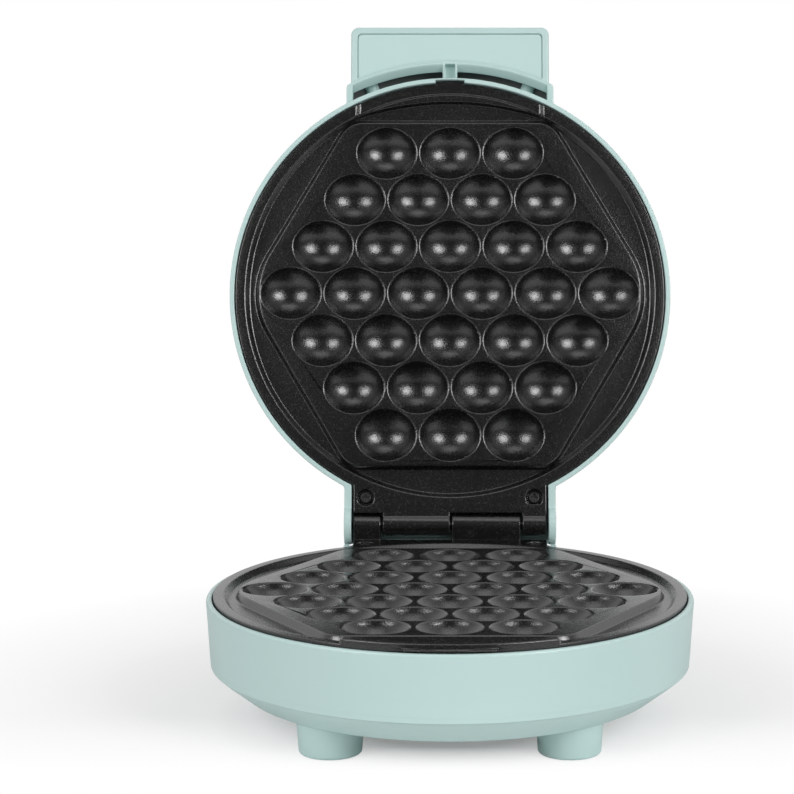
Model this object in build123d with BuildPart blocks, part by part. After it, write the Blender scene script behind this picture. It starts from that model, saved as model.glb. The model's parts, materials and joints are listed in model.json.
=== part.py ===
from build123d import *
from math import atan, cos, degrees, radians, sin, sqrt
import os

os.makedirs("parts", exist_ok=True)

# Bubble waffle maker, millimetres. +Z is up, the handle side is -Y and the hinge side +Y.
# The origin lies on the worktop under the centre of the lower plate.
# The lid rests open. Its joint closes it by turning it forwards about the hinge.

# Cups of the cast plates
cup_rows = (3, 4, 5, 6, 5, 4, 3)
cup_pitch_x = 32.0
cup_pitch_y = 23.9
cup_length = 30.1
cup_width = 26.4
cup_depth = 8.5
cup_wall = 2.0

# Hexagonal platform that the cups are sunk in, with a moat around it
platform_margin = 2.3
platform_tip_reach = 7.5
platform_tip_radius = 40.0
platform_corner_radius = 14.0
platform_slope = 1.6
moat_depth = 3.5
moat_tip_width = 3.1

# Plate rim, its front lip and the recess that the lip closes into
rim_drop = 1.0
ring_slope = 2.2
rim_width = 5.0
plate_wall = 2.6
front_land_sag = 48.6
front_land_width = 5.4
lip_half = 46.5
lip_height = 2.3
lip_slope = 0.6
recess_half = 47.7
recess_floor_half = 45.3
recess_depth = 1.5
recess_margin = 0.4
front_tab_half = 7.0
front_tab_reach = 1.5
front_strip_half = 20.0
front_strip_reach = 1.1
tab_clearance = 0.3

# Closing gap and hinge
plate_gap = 0.6
open_angle = 106.5
hinge_setback = 8.7
hinge_rise = 5.0
knuckle_radius = 5.45
knuckle_cuts = (-34.0, 0.5, 35.5)
knuckle_gap = 1.0
tongue_half = 48.0
tongue_setback = 4.9
pin_radius = 2.0
pin_fit = 0.05
pin_stand = 0.6
pin_chamfer = 0.4
swing_gap = 0.5
ear_radius = 9.4
ear_gap = 1.0
ear_thickness = 3.6

# Base housing
platform_height = 60.0
rim_reveal = 1.4
strip_gap = 0.4
wall_gap = 0.4
base_wall = 2.8
base_floor = 2.6
base_draft = 1.8
base_edge_round = 1.4
base_crease_round = 8.0
base_floor_round = 5.0
crease_height = 27.0
floor_height = 15.0
floor_radius = 94.0
ledge_width = 5.0
ledge_thickness = 3.0
rear_reach = 5.3
rear_chamfer = 9.0
rear_round = 5.0
corner_blend = 8.0
corner_match = 0.1
swing_radius = 12.0
vent_count = 5
vent_length = 34.0
vent_width = 3.0
vent_pitch = 9.0

# Feet
front_foot = (52.5, -59.5)
rear_foot = (36.0, 88.0)
foot_tip_radius = 13.9
foot_draft = 4.0
foot_edge_round = 1.6
foot_wall = 2.6
pad_radius = 8.0
pad_thickness = 2.0
pad_stand = 0.5
pad_chamfer = 0.4
pad_fit = 0.1

# Lid housing
lid_wall = 2.4
lid_edge = 0.4
lid_draft = 2.3
lid_crease = 22.0
lid_flat_height = 33.0
lid_flat_radius = 95.0
lid_crown = 2.5
lid_crown_flat = 6.0
lid_crease_round = 8.0
lid_top_round = 16.0
tongue_reach = 8.6
tongue_slope_start = 80.0
tongue_slope_high = 21.0
tongue_slope_low = 12.0
tongue_edge_round = 2.0
lip_edge_height = 9.6

# Handle
handle_half = 50.5
handle_tip = 138.9
handle_round = 4.0
handle_face = 7.0
handle_thickness = 12.0
handle_edge_round = 1.2
border_width = 3.4
cover_recess = 1.0
cover_thickness = 2.0
cover_ledge = 1.5
cover_fit = 0.1
flange_half = 52.7
flange_radius = 120.6
flange_band = 1.3
flange_lip = 0.9
flange_round = 2.5
pocket_foot_radius = 116.0
pocket_foot_depth = 4.0
pocket_back_wall = 2.0
pocket_depth = 14.0
pocket_end_wall = 3.2
rib_half = 3.75
rib_wall = 1.15
rib_groove_depth = 4.0
handle_fit = 0.05
handle_screw_angle = 20.0
handle_screw_height = 18.4
handle_boss_radius = 3.4
handle_seat_radius = 104.0
liner_thickness = 1.0
liner_fit = 0.1

# Heating elements and reflectors
element_radius = 3.3
element_ring = 60.0
element_gap_angle = 50.0
element_tail = 7.0
element_stud = 5.0
element_stud_radius = 1.3
element_clearance = 0.3
element_side = 3.0
groove_fit = 0.05
reflector_radius = 84.0
reflector_thickness = 0.6
reflector_lift = 1.2
reflector_rim = 8.0
reflector_hole_gap = 1.2
post_radius = 4.0
post_circle = 74.0

# Thermostat and thermal cut-out
sensor_pad_depth = 15.0
sensor_pad_length = 36.0
sensor_pad_width = 18.0
sensor_flange_length = 32.0
sensor_flange_width = 9.0
sensor_flange_thickness = 0.8
sensor_screw_x = 12.5
thermostat_radius = 8.0
thermostat_height = 12.0
cutout_radius = 6.5
cutout_height = 10.0
blade_width = 6.3
blade_length = 8.0
blade_thickness = 0.8

# Terminal block
terminal_x = 15.0
terminal_y = 60.0
terminal_length = 36.0
terminal_width = 16.0
terminal_height = 13.0
terminal_stand = 4.0
terminal_poles = 3
terminal_pole_pitch = 7.5
terminal_bore = 2.2
terminal_bore_height = 9.1
terminal_head_gap = 1.0

# Indicator lamps
lens_radius = 4.0
lens_flange = 5.2
lens_flange_thickness = 1.0
lens_length = 6.0
lens_wall = 1.1
lens_spacing = 22.0
lens_y = -62.0
lens_recess = 0.5
lens_fit = 0.05
lamp_radius = 2.3
lamp_length = 5.0
lamp_post_x = 21.0
lamp_holder_thickness = 1.8
lamp_holder_gap = 0.4
lamp_holder_width = 9.0

# Screws and cord gland
screw_radius = 1.5
screw_hole = 1.7
pilot_fit = 0.05
head_radius = 3.1
head_height = 1.9
head_taper = 17.0
cross_width = 0.9
cross_length = 3.8
cross_depth = 0.9
counterbore_radius = 4.1
counterbore_depth = 2.4
plate_screw_x = 42.0
plate_screw_inset = 13.7
plate_screw_length = 14.0
boss_radius = 4.4
short_screw = 6.0
gland_height = 33.0
gland_bore = 3.75
gland_radius = 5.4
gland_flange = 8.6
gland_flange_thickness = 2.5
gland_nut_thickness = 3.0
gland_tail = 1.5

# Sizes that follow from the ones above
cup_turn_radius = ((cup_width / 2) ** 2 + cup_depth ** 2) / (2 * cup_depth)
cup_centre_rise = cup_turn_radius - cup_depth
cup_long_radius = cup_length / 2 / sqrt(1 - (cup_centre_rise / cup_turn_radius) ** 2)
cups_reach_x = (max(cup_rows) - 1) / 2 * cup_pitch_x + cup_length / 2
cups_reach_y = (len(cup_rows) - 1) / 2 * cup_pitch_y + cup_width / 2
hex_tip_x = cups_reach_x + platform_tip_reach
hex_flat_y = cups_reach_y + platform_margin
hex_tip_cut = platform_tip_radius * (sqrt(1 + (hex_tip_x / 2 / hex_flat_y) ** 2) - 1)
ring_radius = hex_tip_x - hex_tip_cut + platform_slope + moat_tip_width
rim_inner = ring_radius + ring_slope
plate_radius = rim_inner + rim_width
slab_depth = moat_depth + plate_wall
land_taper = degrees(atan(ring_slope / (moat_depth - rim_drop))) / 2
hinge_y = plate_radius + hinge_setback
hinge_z = platform_height + hinge_rise
lid_hinge_z = hinge_rise - plate_gap
tongue_y = hinge_y - tongue_setback
screw_y = hinge_y - plate_screw_inset
knuckle_ends = (-tongue_half,) + knuckle_cuts + (tongue_half,)
ear_inner = tongue_half + ear_gap
ear_outer = ear_inner + ear_thickness
wall_inner = plate_radius + wall_gap
base_radius = wall_inner + base_wall
crease_radius = base_radius - base_draft
base_top = platform_height - rim_drop - rim_reveal
floor_top = floor_height + base_floor
slab_bottom = platform_height - slab_depth
ledge_inner = wall_inner - ledge_width
ledge_foot = slab_bottom - ledge_thickness - ledge_width
rear_y = hinge_y + rear_reach
lid_radius = wall_inner + lid_wall
lid_crease_radius = lid_radius - lid_draft
crown_span = lid_flat_radius - lid_crown_flat
crown_radius = (crown_span ** 2 + lid_crown ** 2) / (2 * lid_crown)
tongue_end = hinge_y + tongue_reach
tongue_slope = (tongue_slope_high - tongue_slope_low) / (tongue_end - tongue_slope_start)
wall_drop = lid_wall * sqrt(1 + tongue_slope ** 2)
bay_start = floor_radius - rear_chamfer
bay_end = tongue_end - lid_wall
element_depth = cup_depth + cup_wall + element_clearance + element_radius
reflector_depth = element_depth + element_radius + reflector_lift
flange_face = handle_face - flange_lip
handle_back = handle_face + handle_thickness
pocket_floor = flange_face + pocket_depth
liner_draft = lid_draft * (pocket_floor - liner_thickness - lid_edge) / (lid_crease - lid_edge)
liner_inner_radius = lid_radius - liner_draft + liner_fit
pocket_inner_radius = flange_radius - flange_band
pocket_back_radius = flange_radius - pocket_back_wall
lens_fall = (abs(lens_y) + lens_flange - lid_crown_flat) ** 2 / (2 * crown_radius)
lens_seat = lid_flat_height + lid_crown - lens_fall - lens_recess
lamp_shelf = lens_seat - lens_length - lamp_holder_gap
screw_grip = slab_depth - rim_drop - counterbore_depth
gland_nut_face = rear_y - base_wall - gland_nut_thickness

# Frames. The base frame stands on the worktop; the lid frame has its origin at the centre of the
# upper cups' mouths and its +Z into the lid. Each face frame looks out of its plate.
base = Plane.XY
hinge = Location((0, hinge_y, hinge_z))
swing = hinge * Location((0, 0, 0), (-open_angle, 0, 0)) * hinge.inverse()
lid = Plane(swing * Location((0, 0, platform_height + plate_gap)))
lower_face = Plane.XY.offset(platform_height)
upper_face = Plane(lid.origin, x_dir=-lid.x_dir, z_dir=-lid.z_dir)


def moved(frame, x, y, z):
    """The frame shifted to a place that is given in its own axes."""
    return Plane(frame.location * Location((x, y, z)))


def turned(frame, angle):
    """The frame turned about its own Z axis."""
    return Plane(frame.location * Location((0, 0, 0), (0, 0, angle)))


def flipped(frame):
    """The frame with its Z axis the other way round."""
    return Plane(frame.origin, x_dir=-frame.x_dir, z_dir=-frame.z_dir)


def section(frame):
    """Upright plane through the frame's X and Z axes."""
    return Plane(frame.origin, x_dir=frame.x_dir, z_dir=-frame.y_dir)


def side(frame):
    """Upright plane through the frame's Y and Z axes."""
    return Plane(frame.origin, x_dir=frame.y_dir, z_dir=frame.x_dir)


def upright(frame):
    """The frame's Z axis."""
    return Axis(frame.origin, frame.z_dir)


def revolve_profile(frame, points, mode=Mode.ADD):
    """Turn an outline of radius, height and optional rounding about the frame's Z axis."""
    with BuildSketch(section(frame)) as profile:
        with BuildLine():
            Polyline(*[point[:2] for point in points], close=True)
        make_face()
        for point in points:
            if len(point) > 2:
                fillet(profile.vertices().sort_by_distance(point[:2])[0], point[2])
    revolve(profile.sketch, axis=upright(frame), mode=mode)


def prism_across(frame, x_from, x_to, points, mode=Mode.ADD):
    """Extrude an outline of Y and height between two places on the frame's X axis."""
    with BuildSketch(side(moved(frame, x_from, 0, 0))) as outline:
        with BuildLine():
            Polyline(*points, close=True)
        make_face()
    extrude(outline.sketch, amount=x_to - x_from, mode=mode)


def rod_across(frame, x_from, x_to, y, z, radius, mode=Mode.ADD):
    """Round bar along the frame's X axis."""
    with BuildSketch(side(moved(frame, x_from, 0, 0))) as outline:
        with Locations((y, z)):
            Circle(radius)
    extrude(outline.sketch, amount=x_to - x_from, mode=mode)


def rod_back(frame, x, z, y_from, y_to, radius, mode=Mode.ADD):
    """Round bar along the frame's Y axis."""
    with BuildSketch(section(moved(frame, 0, y_from, 0))) as outline:
        with Locations((x, z)):
            Circle(radius)
    extrude(outline.sketch, amount=y_from - y_to, mode=mode)


def post(frame, x, y, z_from, z_to, radius, mode=Mode.ADD):
    """Round post or hole along the frame's Z axis."""
    with BuildSketch(moved(frame, 0, 0, z_from)) as outline:
        with Locations((x, y)):
            Circle(radius)
    extrude(outline.sketch, amount=z_to - z_from, mode=mode)


def block(frame, x, y, z_from, z_to, length, width, mode=Mode.ADD):
    """Rectangular block along the frame's axes."""
    with BuildSketch(moved(frame, 0, 0, z_from)) as outline:
        with Locations((x, y)):
            Rectangle(length, width)
    extrude(outline.sketch, amount=z_to - z_from, mode=mode)


def screw(seat, length):
    """Cross-recess screw. The seat lies under its head, with +Z out of the head."""
    post(seat, 0, 0, -length, 0, screw_radius)
    with BuildSketch(seat) as head:
        Circle(head_radius)
    extrude(head.sketch, amount=head_height, taper=head_taper)
    block(seat, 0, 0, head_height - cross_depth, head_height, cross_length, cross_width, Mode.SUBTRACT)
    block(seat, 0, 0, head_height - cross_depth, head_height, cross_width, cross_length, Mode.SUBTRACT)


def cup_places():
    """Centres of the cups, row by row."""
    middle = (len(cup_rows) - 1) / 2
    places = []
    for row, count in enumerate(cup_rows):
        for k in range(count):
            places.append(((k - (count - 1) / 2) * cup_pitch_x, (row - middle) * cup_pitch_y))
    return places


def reflector_posts():
    """Places of the three posts that carry a reflector."""
    return [(post_circle * cos(radians(a)), post_circle * sin(radians(a))) for a in (90, 210, 330)]


def sensor_frame(face):
    """The face turned so that a sensor's screws lie between the cups."""
    return turned(face, 90)


def element_ends():
    """Places where a heating element's ring ends, on each side of its gap."""
    half = radians(element_gap_angle / 2)
    return [(s * element_ring * sin(half), element_ring * cos(half)) for s in (-1, 1)]


def element_arc(face, radius, mode=Mode.ADD):
    """Open ring with its gap towards the hinge."""
    start = turned(face, 90 + element_gap_angle / 2)
    with BuildSketch(section(moved(start, 0, 0, -element_depth))) as tube:
        with Locations((element_ring, 0)):
            Circle(radius)
    revolve(tube.sketch, axis=upright(face), revolution_arc=360 - element_gap_angle, mode=mode)


# Cavity of one cup and the shell around it, both about the centre of their spheroid
with BuildPart() as cup_cavity:
    with BuildSketch(Plane.XZ):
        Ellipse(cup_long_radius, cup_turn_radius)
        with Locations((0, cup_turn_radius)):
            Rectangle(2 * cup_long_radius, 2 * cup_turn_radius, mode=Mode.SUBTRACT)
    revolve(axis=Axis.X)

with BuildPart() as cup_shell:
    with BuildSketch(Plane.XZ):
        Ellipse(cup_long_radius + cup_wall, cup_turn_radius + cup_wall)
        with Locations((0, cup_turn_radius + cup_wall)):
            Rectangle(2 * (cup_long_radius + cup_wall), 2 * (cup_turn_radius + cup_wall),
                      mode=Mode.SUBTRACT)
    revolve(axis=Axis.X)
    split(bisect_by=Plane.XY.offset(-cup_centre_rise - moat_depth - plate_wall / 2), keep=Keep.BOTTOM)


def front_band(radius_from, radius_to, outline):
    """Arc-shaped block across the front of a plate, with an upright outline of X and height."""
    with BuildPart() as band:
        with BuildSketch(Plane.XZ):
            with BuildLine():
                Polyline(*outline, close=True)
            make_face()
        extrude(amount=radius_to)
        with BuildSketch(Plane.XY.offset(-slab_depth)):
            Circle(radius_to)
            Circle(radius_from, mode=Mode.SUBTRACT)
        extrude(amount=2 * slab_depth, mode=Mode.INTERSECT)
    return band.part


def cast_plate(face):
    """Disc, rim, tongue, platform, cups and underside features that both plates share."""
    revolve_profile(face, [
        (0, -slab_depth), (plate_radius, -slab_depth), (plate_radius, -rim_drop),
        (rim_inner, -rim_drop), (ring_radius, -moat_depth), (0, -moat_depth),
    ])
    # Tongue towards the hinge, at the level of the rim
    with BuildSketch(moved(face, 0, 0, -slab_depth)) as tongue:
        with Locations((0, tongue_y / 2)):
            Rectangle(2 * tongue_half, tongue_y)
        Circle(rim_inner + ring_slope / 2, mode=Mode.SUBTRACT)
    extrude(tongue.sketch, amount=slab_depth - rim_drop)
    # Land inside the front of the rim, bounded by a flatter arc
    with BuildSketch(moved(face, 0, 0, -moat_depth)) as land:
        Circle(rim_inner)
        with Locations((0, front_land_sag)):
            Circle(rim_inner - front_land_width + front_land_sag, mode=Mode.SUBTRACT)
    extrude(land.sketch, amount=moat_depth - rim_drop, taper=land_taper)
    # Platform with rounded corners and sloping sides
    foot_tip_x = hex_tip_x + platform_slope
    foot_flat_y = hex_flat_y + platform_slope
    with BuildSketch(moved(face, 0, 0, -moat_depth)) as platform:
        with BuildLine():
            Polyline(
                (foot_tip_x, 0), (foot_tip_x / 2, foot_flat_y), (-foot_tip_x / 2, foot_flat_y),
                (-foot_tip_x, 0), (-foot_tip_x / 2, -foot_flat_y), (foot_tip_x / 2, -foot_flat_y),
                close=True,
            )
        make_face()
        rows = platform.vertices().group_by(Axis.Y)
        fillet(rows[0] + rows[-1], platform_corner_radius)
        tips = platform.vertices().sort_by(Axis.X)
        fillet([tips[0], tips[-1]], platform_tip_radius)
    extrude(platform.sketch, amount=moat_depth, taper=degrees(atan(platform_slope / moat_depth)))
    # Ring that holds the heating element, pad for the sensor and posts for the reflector
    with BuildSketch(moved(face, 0, 0, -element_depth)) as ring:
        Circle(element_ring + element_radius + element_side)
        Circle(element_ring - element_radius - element_side, mode=Mode.SUBTRACT)
    extrude(ring.sketch, amount=element_depth - slab_depth)
    with BuildSketch(moved(sensor_frame(face), 0, 0, -sensor_pad_depth)) as pad:
        SlotOverall(sensor_pad_length, sensor_pad_width)
    extrude(pad.sketch, amount=sensor_pad_depth - slab_depth)
    for x, y in reflector_posts():
        post(face, x, y, -reflector_depth, -slab_depth, post_radius)
    # Cups
    cups = [face.location * Location((x, y, cup_centre_rise)) for x, y in cup_places()]
    with Locations(*cups):
        add(cup_shell.part)
    with Locations(*cups):
        add(cup_cavity.part, mode=Mode.SUBTRACT)
    # Groove and screw holes
    element_arc(face, element_radius + groove_fit, Mode.SUBTRACT)
    for x, y in element_ends():
        with Locations(face.location * Location((x, y, -element_depth))):
            Sphere(element_radius + groove_fit, mode=Mode.SUBTRACT)
    pilot = screw_radius + pilot_fit
    for x, y in reflector_posts():
        post(face, x, y, -reflector_depth, -reflector_depth + short_screw, pilot, Mode.SUBTRACT)
    for x in (-sensor_screw_x, sensor_screw_x):
        post(sensor_frame(face), x, 0, -sensor_pad_depth, -sensor_pad_depth + short_screw, pilot,
             Mode.SUBTRACT)
    for x in (-plate_screw_x, plate_screw_x):
        post(face, x, screw_y, -slab_depth, -rim_drop, screw_hole, Mode.SUBTRACT)
        post(face, x, screw_y, -rim_drop - counterbore_depth, -rim_drop, counterbore_radius, Mode.SUBTRACT)


def knuckle_spans(first):
    """Every second span along the hinge, from the given one."""
    spans = []
    for k in range(first, len(knuckle_ends) - 1, 2):
        x_from = knuckle_ends[k] + (knuckle_gap / 2 if k > 0 else 0)
        x_to = knuckle_ends[k + 1] - (knuckle_gap / 2 if k + 2 < len(knuckle_ends) else 0)
        spans.append((x_from, x_to))
    return spans


lower_spans = knuckle_spans(0)
upper_spans = knuckle_spans(1)

# Lower plate: a lip and a middle strip at the front, knuckles on upright webs at the back
with BuildPart() as lower_plate:
    cast_plate(lower_face)
    lip = front_band(rim_inner, plate_radius, [
        (-lip_half, -slab_depth / 2), (lip_half, -slab_depth / 2), (lip_half, -rim_drop),
        (lip_half - lip_slope, lip_height - rim_drop), (lip_slope - lip_half, lip_height - rim_drop),
        (-lip_half, -rim_drop),
    ])
    strip = front_band(rim_inner, plate_radius + front_strip_reach, [
        (-front_strip_half, -rim_drop - rim_reveal + strip_gap),
        (front_strip_half, -rim_drop - rim_reveal + strip_gap),
        (front_strip_half, -rim_drop), (-front_strip_half, -rim_drop),
    ])
    with Locations(lower_face.location):
        add(lip)
        add(strip)
    for x_from, x_to in lower_spans:
        prism_across(base, x_from, x_to, [
            (tongue_y - knuckle_radius, slab_bottom), (hinge_y + pin_radius, slab_bottom),
            (hinge_y + pin_radius, hinge_z), (hinge_y - knuckle_radius, hinge_z),
            (hinge_y - knuckle_radius, platform_height - rim_drop),
            (tongue_y - knuckle_radius, platform_height - rim_drop),
        ])
        rod_across(base, x_from, x_to, hinge_y, hinge_z, knuckle_radius)
        rod_across(base, x_from, x_to, hinge_y, hinge_z, pin_radius + pin_fit, Mode.SUBTRACT)
lower_plate.part.label = "lower_plate"
export_step(lower_plate.part, "parts/lower_plate.step")

# Upper plate: recessed rim and a small tab at the front, knuckles in line with its slab
with BuildPart() as upper_plate:
    cast_plate(upper_face)
    recess = front_band(rim_inner - recess_margin, plate_radius + recess_margin, [
        (-recess_floor_half, -rim_drop - recess_depth), (recess_floor_half, -rim_drop - recess_depth),
        (recess_half, -rim_drop), (recess_half, slab_depth / 2),
        (-recess_half, slab_depth / 2), (-recess_half, -rim_drop),
    ])
    tab = front_band(rim_inner, plate_radius + front_tab_reach, [
        (-front_tab_half, -slab_depth), (front_tab_half, -slab_depth),
        (front_tab_half, -rim_drop - recess_depth), (-front_tab_half, -rim_drop - recess_depth),
    ])
    with Locations(upper_face.location):
        add(recess, mode=Mode.SUBTRACT)
        add(tab)
    for x_from, x_to in lower_spans:
        rod_across(lid, x_from - knuckle_gap, x_to + knuckle_gap, hinge_y, lid_hinge_z,
                   knuckle_radius + swing_gap, Mode.SUBTRACT)
        prism_across(lid, x_from - knuckle_gap, x_to + knuckle_gap, [
            (hinge_y - knuckle_radius - swing_gap, 0), (hinge_y, 0),
            (hinge_y, lid_hinge_z), (hinge_y - knuckle_radius - swing_gap, lid_hinge_z),
        ], Mode.SUBTRACT)
    for x_from, x_to in upper_spans:
        prism_across(lid, x_from, x_to, [
            (tongue_y - knuckle_radius, rim_drop), (hinge_y, rim_drop),
            (hinge_y, slab_depth), (tongue_y - knuckle_radius, slab_depth),
        ])
        rod_across(lid, x_from, x_to, hinge_y, lid_hinge_z, knuckle_radius)
        rod_across(lid, x_from, x_to, hinge_y, lid_hinge_z, pin_radius + pin_fit, Mode.SUBTRACT)
upper_plate.part.label = "upper_plate"
export_step(upper_plate.part, "parts/upper_plate.step")

# Hinge pin through all the knuckles
with BuildPart() as hinge_pin:
    rod_across(base, -tongue_half - pin_stand, tongue_half + pin_stand, hinge_y, hinge_z, pin_radius)
    chamfer(hinge_pin.edges().filter_by(GeomType.CIRCLE), pin_chamfer)
hinge_pin.part.label = "hinge_pin"
export_step(hinge_pin.part, "parts/hinge_pin.step")


def housing_plan(radius, end_y, end_round):
    """Plan of a round housing with a blended, straight-sided hinge end."""
    with BuildSketch() as plan:
        Circle(radius)
        with Locations((0, end_y / 2)):
            Rectangle(2 * ear_outer, end_y)
        corners = plan.vertices().group_by(Axis.Y)[-1]
        fillet(corners, end_round)
        joints = [v for v in plan.vertices() if abs(sqrt(v.X ** 2 + v.Y ** 2) - radius) < corner_match]
        fillet(joints, corner_blend)
    return plan.sketch


# Rear block of the base: blended into the bowl, chamfered along its foot
with BuildPart() as rear_block:
    with BuildSketch(base.offset(crease_height)):
        add(housing_plan(crease_radius, rear_y, rear_round))
    extrude(amount=base_top - crease_height)
    with BuildSketch(base.offset(floor_height)) as rear_foot_plan:
        with Locations((0, (floor_radius + rear_y) / 2)):
            Rectangle(2 * ear_outer, rear_y - floor_radius)
        fillet(rear_foot_plan.vertices().group_by(Axis.Y)[-1], rear_round)
        with Locations((0, floor_radius / 2)):
            Rectangle(2 * ear_outer, floor_radius)
        Circle(floor_radius - corner_blend, mode=Mode.SUBTRACT)
        with Locations((0, -base_radius / 2)):
            Rectangle(2 * base_radius, base_radius, mode=Mode.SUBTRACT)
    extrude(amount=crease_height - floor_height)
    prism_across(base, -base_radius, base_radius, [
        (rear_y - rear_chamfer, floor_height), (rear_y + rear_chamfer, floor_height + 2 * rear_chamfer),
        (rear_y + rear_chamfer, floor_height - rear_chamfer),
        (rear_y - rear_chamfer, floor_height - rear_chamfer),
    ], Mode.SUBTRACT)


def tapered_leg(x, y, bottom, radius, rounding):
    """Leg or its cavity, widening up to the housing's floor, with a rounded lower edge."""
    with BuildPart() as leg:
        with BuildSketch(base.offset(bottom)):
            with Locations((x, y)):
                Circle(radius)
        extrude(amount=floor_top - bottom, taper=-foot_draft)
        fillet(leg.edges().sort_by(Axis.Z)[0], rounding)
    return leg.part


# Base housing: drafted bowl and rear block with a ledge for the plate, a hinge floor and four legs
with BuildPart() as base_housing:
    revolve_profile(base, [
        (0, floor_height), (floor_radius, floor_height, base_floor_round),
        (crease_radius, crease_height, base_crease_round), (base_radius, base_top, base_edge_round),
        (0, base_top),
    ])
    add(rear_block.part)
    revolve_profile(base, [
        (0, floor_top), (floor_radius - base_floor / 2, floor_top, base_floor_round),
        (crease_radius - base_wall, crease_height + base_floor / 2, base_crease_round - base_wall),
        (wall_inner, slab_bottom), (wall_inner, base_top + rim_reveal), (0, base_top + rim_reveal),
    ], Mode.SUBTRACT)
    prism_across(base, base_wall - ear_outer, ear_outer - base_wall, [
        (floor_radius - rear_chamfer, floor_top), (rear_y - rear_chamfer - base_floor / 2, floor_top),
        (rear_y - base_wall, floor_height + rear_chamfer + base_wall / 2),
        (rear_y - base_wall, base_top + rim_reveal), (floor_radius - rear_chamfer, base_top + rim_reveal),
    ], Mode.SUBTRACT)
    revolve_profile(base, [
        (ledge_inner, slab_bottom), (ledge_inner, slab_bottom - ledge_thickness),
        (wall_inner, ledge_foot), (wall_inner, slab_bottom),
    ])
    prism_across(base, -ear_outer + base_wall / 2, ear_outer - base_wall / 2, [
        (screw_y, slab_bottom), (rear_y - base_wall / 2, slab_bottom),
        (rear_y - base_wall / 2, slab_bottom - 2 * base_wall), (screw_y, slab_bottom - base_wall),
    ])
    rod_across(base, -base_radius, base_radius, hinge_y, hinge_z, swing_radius, Mode.SUBTRACT)
    for x in (-plate_screw_x, plate_screw_x):
        post(base, x, screw_y, floor_height + base_floor / 2, slab_bottom, boss_radius)
        post(base, x, screw_y, slab_bottom - plate_screw_length, slab_bottom, screw_radius + pilot_fit,
             Mode.SUBTRACT)
    # Legs, hollow from above, with a recess for a pad under each
    for foot_x, foot_y in (front_foot, rear_foot):
        for x in (-foot_x, foot_x):
            hollow = tapered_leg(x, foot_y, pad_thickness + foot_wall, foot_tip_radius - foot_wall,
                                 foot_edge_round / 2)
            add(tapered_leg(x, foot_y, pad_stand, foot_tip_radius, foot_edge_round))
            add(hollow, mode=Mode.SUBTRACT)
            post(base, x, foot_y, 0, pad_thickness, pad_radius + pad_fit, Mode.SUBTRACT)
    # Posts for the terminal block, hole for the cord gland and vent slots in the floor
    for s in (-1, 1):
        x = s * terminal_x
        post(base, x, terminal_y, floor_height + base_floor / 2, floor_top + terminal_stand, boss_radius)
        post(base, x, terminal_y, floor_top, floor_top + terminal_stand, screw_radius + pilot_fit,
             Mode.SUBTRACT)
    rod_back(base, 0, gland_height, rear_y - 2 * base_wall, rear_y + base_wall, gland_radius + pin_fit,
             Mode.SUBTRACT)
    with BuildSketch(base.offset(floor_height)):
        with GridLocations(0, vent_pitch, 1, vent_count):
            SlotOverall(vent_length, vent_width)
    extrude(amount=base_floor, mode=Mode.SUBTRACT)
base_housing.part.label = "base_housing"
export_step(base_housing.part, "parts/base_housing.step")

# Pads under the legs
with BuildPart() as foot_pads:
    for foot_x, foot_y in (front_foot, rear_foot):
        for x in (-foot_x, foot_x):
            post(base, x, foot_y, 0, pad_thickness, pad_radius)
    chamfer(foot_pads.faces().sort_by(Axis.Z)[:4].edges(), pad_chamfer)
foot_pads.part.label = "foot_pads"
export_step(foot_pads.part, "parts/foot_pads.step")


def slope_height(y):
    """Height of the tongue's sloping top in the lid's frame."""
    return tongue_slope_low + tongue_slope * (tongue_end - y)


def lid_dome(inset, bottom, mode=Mode.ADD):
    """Round body of the lid, from a level up to its crown, made smaller by a wall."""
    crease = (lid_crease_radius - inset, lid_crease - inset / 2)
    brow = (lid_flat_radius - inset / 2, lid_flat_height - inset)
    top = lid_flat_height + lid_crown - inset
    half_span = (brow[0] - lid_crown_flat) / 2
    crown_mid = top - crown_radius + sqrt(crown_radius ** 2 - half_span ** 2)
    wall_draft = lid_draft * (lid_edge - bottom) / (lid_crease - lid_edge)
    with BuildSketch(section(lid)) as profile:
        with BuildLine():
            Polyline(
                (lid_crown_flat, top), (0, top), (0, bottom), (lid_radius - inset + wall_draft, bottom),
                crease, brow,
            )
            ThreePointArc(brow, (lid_crown_flat + half_span, crown_mid), (lid_crown_flat, top))
        make_face()
        fillet(profile.vertices().sort_by_distance(crease)[0], lid_crease_round - inset)
        fillet(profile.vertices().sort_by_distance(brow)[0], lid_top_round - inset)
    revolve(profile.sketch, axis=upright(lid), mode=mode)


# Tongue of the lid: blended plan under a sloping top, with a round ear about the hinge on each side
with BuildPart() as lid_tongue:
    with BuildSketch(lid.offset(lid_edge)):
        add(housing_plan(lid_crease_radius, tongue_end, tongue_edge_round))
    extrude(amount=lid_crease - lid_crease_round / 2 - lid_edge)
    prism_across(lid, -lid_radius, lid_radius, [
        (-lid_radius, lid_edge), (tongue_end, lid_edge), (tongue_end, tongue_slope_low),
        (tongue_slope_start, tongue_slope_high), (-lid_radius, tongue_slope_high),
    ], Mode.INTERSECT)
    for x_from, x_to in ((-ear_outer, -ear_inner), (ear_inner, ear_outer)):
        rod_across(lid, x_from, x_to, hinge_y, lid_hinge_z, ear_radius)

handle_seats = [turned(lid, s * handle_screw_angle) for s in (-1, 1)]

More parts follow.
